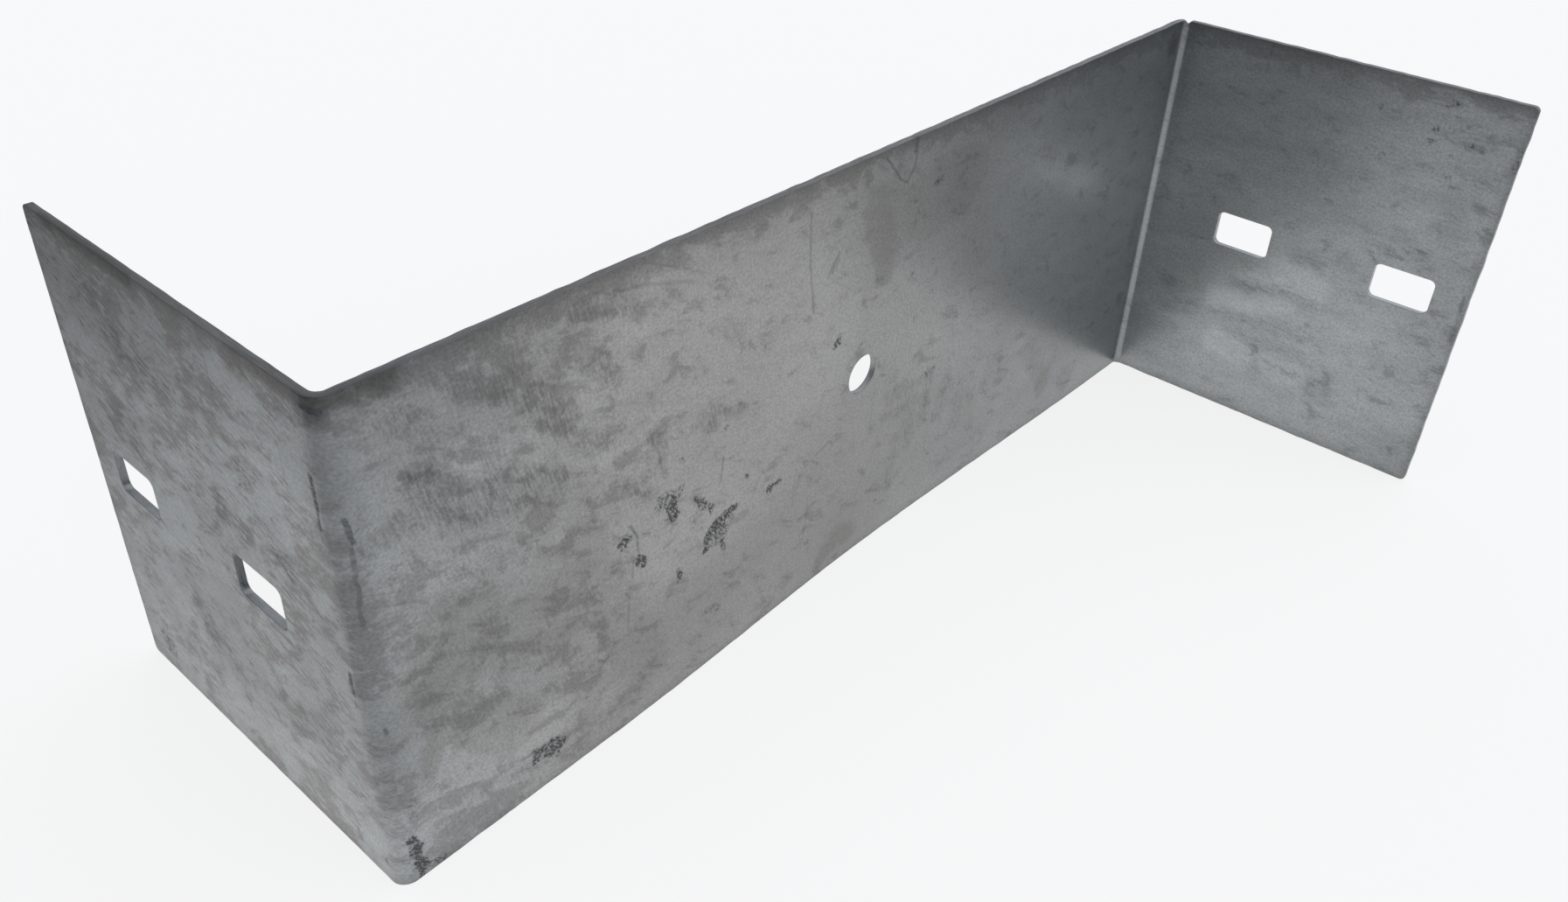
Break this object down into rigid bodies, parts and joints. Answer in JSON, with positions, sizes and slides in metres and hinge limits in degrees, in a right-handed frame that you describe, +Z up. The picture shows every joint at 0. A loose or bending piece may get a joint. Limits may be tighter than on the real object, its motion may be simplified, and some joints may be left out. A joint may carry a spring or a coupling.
{
  "type": "cable tray offset splice plate",
  "caption": "Z-folded galvanised steel plate that joins the side rails of two cable trays of different width, with bolt slots in its flanges and a round hole in its web.",
  "frame": {"origin": "middle of the footprint, on the bottom edge that the plate stands on", "axes": "+X along the web towards the right flange, +Y the way the left flange points, +Z up"},
  "size_m": [0.247, 0.1694, 0.1],
  "materials": {
    "galvanised_steel": "hot-dip galvanised, dull blue-grey zinc with light handling marks"
  },
  "bodies": {
    "root": {"splice_plate": "galvanised_steel"}
  },
  "joints": []
}
